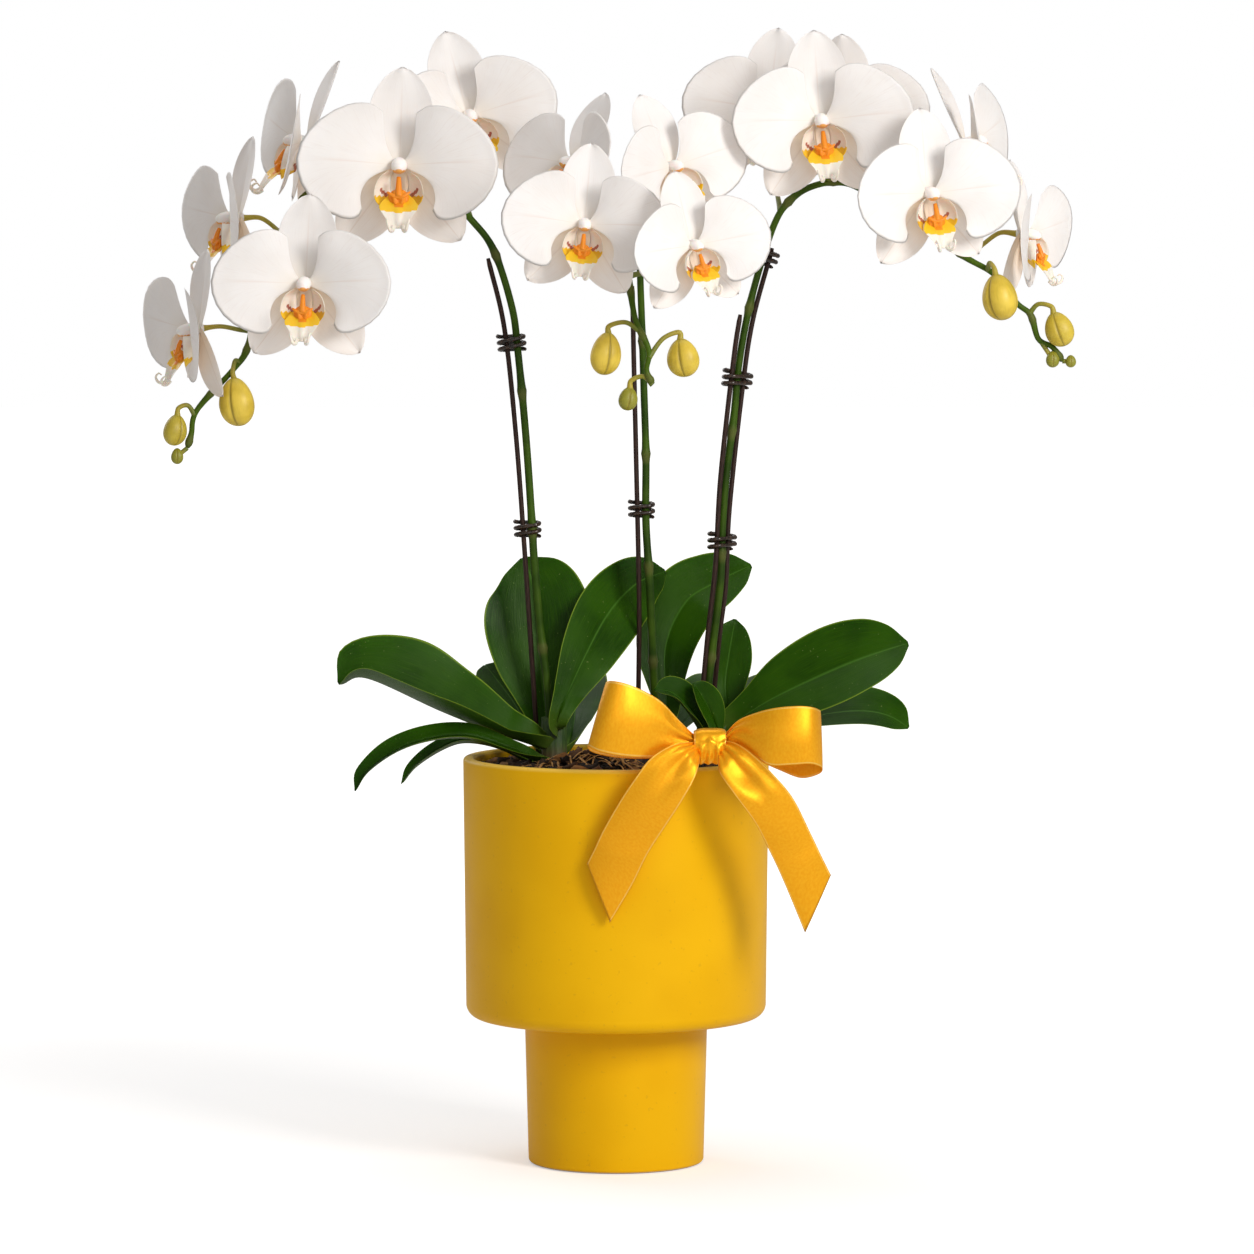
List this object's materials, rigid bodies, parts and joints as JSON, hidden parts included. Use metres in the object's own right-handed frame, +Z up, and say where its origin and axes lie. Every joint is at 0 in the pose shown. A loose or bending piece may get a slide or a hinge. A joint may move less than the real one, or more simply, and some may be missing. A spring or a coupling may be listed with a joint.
{
  "type": "potted orchid",
  "caption": "Potted moth orchid: arching spikes of white flowers and buds on canes, strap leaves, bark topping, and a yellow footed ceramic pot with a satin bow.",
  "frame": {"origin": "centre of the pot's flat base, on the surface it stands on", "axes": "+Z up, -Y towards the front of the flowers, +X to the right seen from the front"},
  "size_m": [0.4761, 0.261, 0.5691],
  "materials": {
    "yellow_glaze": "satin yellow glaze",
    "growing_mix": "fine bark and peat, damp and dark",
    "bark": "loose bark chips and dry straw",
    "leaf": "thick, deep green, waxy leaf",
    "crown": "pale green clasping leaf bases",
    "spike": "smooth green flower stalk",
    "petal": "warm white petal, soft sheen",
    "bud": "yellow olive closed bud",
    "stake": "dark dyed cane",
    "tie_wire": "dark brown plastic-coated wire",
    "satin_ribbon": "golden satin ribbon",
    "pick_wire": "green painted florist's wire"
  },
  "bodies": {
    "root": {"pot": "yellow_glaze", "growing_mix": "growing_mix", "bark_topping": "bark", "bow_loops": "satin_ribbon", "bow_tails": "satin_ribbon", "bow_knot": "satin_ribbon", "bow_pick": "pick_wire", "leaf_left_big": "leaf", "leaf_left_strap": "leaf", "leaf_left_small": "leaf", "leaf_left_upright": "leaf", "leaf_centre_left": "leaf", "leaf_back_left": "leaf", "leaf_rear_left": "leaf", "leaf_back_right": "leaf", "leaf_rear_right": "leaf", "leaf_right_small": "leaf", "leaf_right_big": "leaf", "leaf_right_low": "leaf", "leaf_front_left": "leaf", "leaf_front_right": "leaf", "flower_left_1": "petal", "flower_left_2": "petal", "flower_left_3": "petal", "flower_left_4": "petal", "flower_left_5": "petal", "flower_left_6": "petal", "flower_centre_1": "petal", "flower_centre_2": "petal", "flower_centre_3": "petal", "flower_centre_4": "petal", "flower_right_1": "petal", "flower_right_2": "petal", "flower_right_3": "petal", "flower_right_4": "petal", "flower_right_5": "petal", "flower_right_6": "petal", "crown_left": "crown", "spike_left": "spike", "crown_centre": "crown", "spike_centre": "spike", "crown_right": "crown", "spike_right": "spike", "stake_left": "stake", "stake_centre": "stake", "stake_right_1": "stake", "stake_right_2": "stake", "tie_left_low": "tie_wire", "tie_left_high": "tie_wire", "tie_centre": "tie_wire", "tie_right_low": "tie_wire", "tie_right_high": "tie_wire", "tie_right_top": "tie_wire", "bud_left_1": "bud", "bud_left_2": "bud", "bud_centre_1": "bud", "bud_centre_2": "bud", "bud_centre_3": "bud", "bud_right_1": "bud", "bud_right_2": "bud"}
  },
  "joints": []
}
